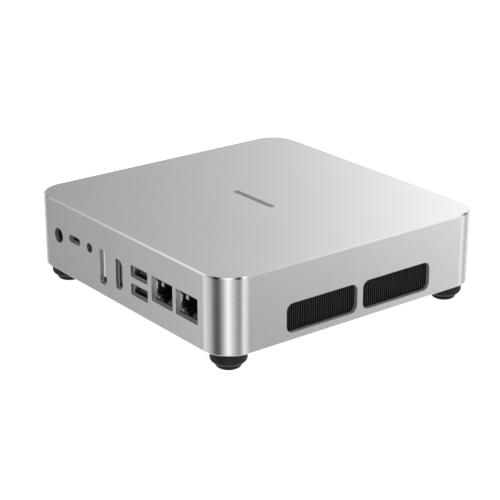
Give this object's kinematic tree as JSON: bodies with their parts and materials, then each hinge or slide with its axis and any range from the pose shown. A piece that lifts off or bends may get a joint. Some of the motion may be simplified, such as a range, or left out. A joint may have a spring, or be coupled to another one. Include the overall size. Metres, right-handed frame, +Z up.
{
  "type": "mini pc",
  "caption": "Small square desktop computer in a satin aluminium case on rubber feet, with rear sockets, side air vents, front power button and internal blower.",
  "frame": {"origin": "middle of the footprint, on the surface that the feet stand on", "axes": "+Z up, +Y towards the rear socket panel, +X to the right seen from the front"},
  "size_m": [0.155, 0.153, 0.0454],
  "materials": {
    "blasted_aluminium": "bead-blasted satin",
    "polished_aluminium": "polished",
    "black_cover": "fine matt powder coat",
    "foot_rubber": "satin moulded rubber",
    "black_screw_steel": "black oxide",
    "socket_steel": "nickel plated sheet",
    "socket_plastic": "moulded",
    "grey_tongue": "moulded light grey",
    "pin_steel": "turned",
    "contact_gold": "gold plated",
    "green_light": "clear tinted plastic",
    "button_aluminium": "spun satin",
    "light_ring": "milky translucent",
    "bracket_plastic": "moulded",
    "circuit_board": "solder mask",
    "chip": "moulded package",
    "copper": "bare copper",
    "fin_black": "black coated",
    "blower_plastic": "moulded",
    "blower_cover_metal": "thin stamped sheet",
    "cell_steel": "bright",
    "antenna_film": "laminated film"
  },
  "bodies": {
    "case": {"antenna_front": "antenna_film", "antenna_rear": "antenna_film", "audio_jack": "socket_plastic", "badge": "polished_aluminium", "blower_cover": "blower_cover_metal", "blower_housing": "blower_plastic", "board_screws": "pin_steel", "bottom_cover": "black_cover", "button_bracket": "bracket_plastic", "coin_cell": "cell_steel", "coin_cell_holder": "bracket_plastic", "cold_plate": "copper", "cover_screws": "black_screw_steel", "dc_jack": "socket_plastic", "dc_pin": "pin_steel", "fan_axle": "pin_steel", "fin_stack": "fin_black", "flat_video_socket_shell": "socket_steel", "flat_video_socket_tongue": "socket_plastic", "foot_front_left": "foot_rubber", "foot_front_right": "foot_rubber", "foot_rear_left": "foot_rubber", "foot_rear_right": "foot_rubber", "heat_pipe_front": "copper", "heat_pipe_rear": "copper", "lan_contacts": "contact_gold", "lan_lights": "green_light", "lan_socket_1_can": "socket_steel", "lan_socket_1_insert": "socket_plastic", "lan_socket_2_can": "socket_steel", "lan_socket_2_insert": "socket_plastic", "memory_front_module": "circuit_board", "memory_front_socket": "bracket_plastic", "memory_rear_module": "circuit_board", "memory_rear_socket": "bracket_plastic", "motherboard": "circuit_board", "power_coils": "chip", "power_light_ring": "light_ring", "power_switch": "bracket_plastic", "processor": "chip", "radio_card": "circuit_board", "radio_card_socket": "bracket_plastic", "side_grille": "fin_black", "solid_state_drive": "circuit_board", "solid_state_drive_socket": "bracket_plastic", "tall_video_socket_shell": "socket_steel", "tall_video_socket_tongue": "grey_tongue", "top_shell": "blasted_aluminium", "usb_a_front_inner_can": "socket_steel", "usb_a_front_inner_tongue": "socket_plastic", "usb_a_front_outer_can": "socket_steel", "usb_a_front_outer_tongue": "socket_plastic", "usb_a_rear_can": "socket_steel", "usb_a_rear_tongue": "socket_plastic", "usb_c_front_shell": "socket_steel", "usb_c_front_tongue": "socket_plastic", "usb_c_rear_shell": "socket_steel", "usb_c_rear_tongue": "socket_plastic"},
    "button": {"power_button": "button_aluminium"},
    "fan": {"fan_rotor": "blower_plastic"}
  },
  "joints": [
    {"name": "power_button_press", "type": "slide", "parent": "case", "child": "button", "axis": [0, 1, 0], "range_m": [0, 0.0006], "stiffness_N_per_m": 1500},
    {"name": "fan_spin", "type": "hinge", "parent": "case", "child": "fan", "pos_m": [-0.014, 0, 0.0193], "axis": [0, 0, 1], "continuous": true}
  ]
}
